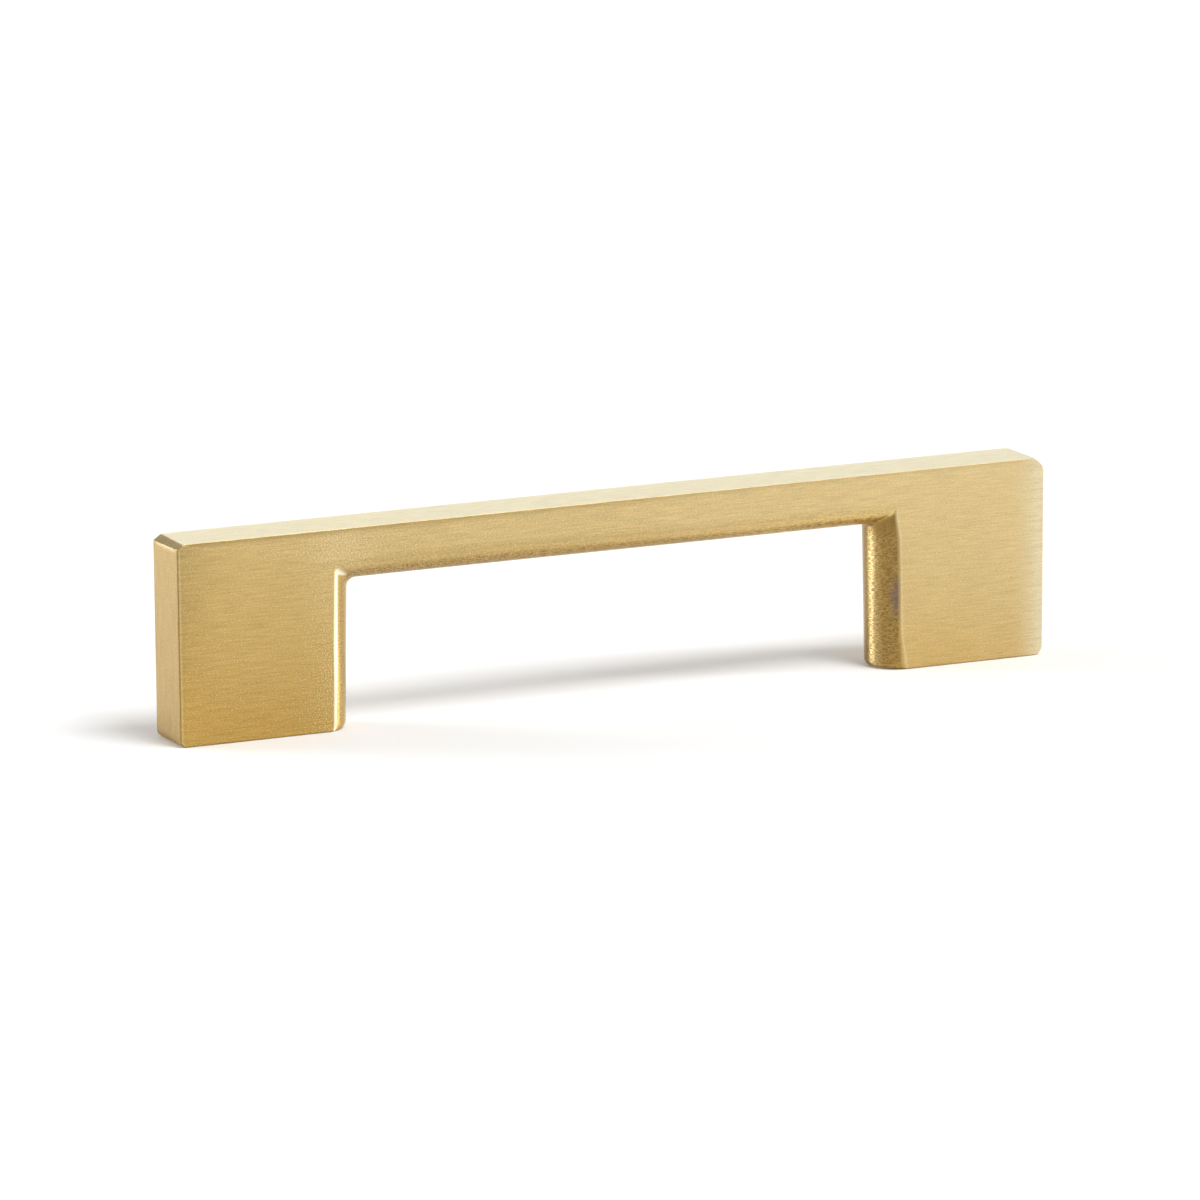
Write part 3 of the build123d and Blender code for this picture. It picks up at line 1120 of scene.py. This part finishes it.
def make_camera():
    """A long lens from the front left, a little above."""
    forward = Vector((
        sin(CAMERA_AZIMUTH) * cos(CAMERA_ELEVATION),
        cos(CAMERA_AZIMUTH) * cos(CAMERA_ELEVATION),
        -sin(CAMERA_ELEVATION),
    ))
    level = Vector((cos(CAMERA_AZIMUTH), -sin(CAMERA_AZIMUTH), 0))
    upright = level.cross(forward)
    right = level * cos(CAMERA_ROLL) + upright * sin(CAMERA_ROLL)
    up = right.cross(forward)
    data = bpy.data.cameras.new("camera")
    data.lens = CAMERA_LENS
    data.sensor_width = CAMERA_SENSOR
    data.clip_start, data.clip_end = CAMERA_CLIP
    camera = bpy.data.objects.new("camera", data)
    place = (CAMERA_TARGET - forward * CAMERA_DISTANCE) * MM
    turn = Matrix((right, up, -forward)).transposed()
    camera.matrix_world = Matrix.LocRotScale(place, turn, None)
    bpy.context.scene.collection.objects.link(camera)
    bpy.context.scene.camera = camera


def direction_to(azimuth, elevation):
    """Unit vector from the handle towards a place in the studio."""
    a = radians(azimuth)
    e = radians(elevation)
    return Vector((sin(a) * cos(e), -cos(a) * cos(e), sin(e)))


def sky_light(name, azimuth, elevation, spread, strength):
    """Soft light from far away, from a disc that is so many degrees wide."""
    light = bpy.data.lights.new(name, "SUN")
    light.energy = strength
    light.angle = radians(spread)
    lamp = bpy.data.objects.new(name, light)
    lamp.rotation_euler = direction_to(azimuth, elevation).to_track_quat("Z", "Y").to_euler()
    bpy.context.scene.collection.objects.link(lamp)


def area_light(name, azimuth, elevation, distance, size, radiance):
    """A soft panel of a width and height that faces the handle."""
    width, height = size
    light = bpy.data.lights.new(name, "AREA")
    light.shape = "RECTANGLE"
    light.size = width
    light.size_y = height
    light.energy = radiance * pi * width * height
    panel = bpy.data.objects.new(name, light)
    away = direction_to(azimuth, elevation)
    place = Vector((0, 0, PROJECTION / 2 * MM)) + away * distance
    panel.matrix_world = Matrix.LocRotScale(place, away.to_track_quat("Z", "Y"), None)
    bpy.context.scene.collection.objects.link(panel)


def make_world():
    """A pale room that is darker towards the front left."""
    world = bpy.data.worlds.new("studio")
    bpy.context.scene.world = world
    world.use_nodes = True
    nodes = Nodes(world.node_tree)
    direction = nodes.add("ShaderNodeTexCoord").outputs["Generated"]
    towards = nodes.measure("DOT_PRODUCT", direction, direction_to(DARK_AZIMUTH, 0))
    colour = nodes.blend(nodes.ramp(towards, *DARK_REACH, eased=True), ROOM_COLOUR, ROOM_DARK)
    background = world.node_tree.nodes["Background"]
    world.node_tree.links.new(colour, background.inputs["Color"])


handle = make_handle()
handle.data.materials.append(brass_material())
make_floor()
make_camera()
make_world()
sky_light("main", **MAIN_LIGHT)
for name, panel in PANELS.items():
    area_light(name, **panel)

bpy.context.scene.view_settings.view_transform = "Standard"
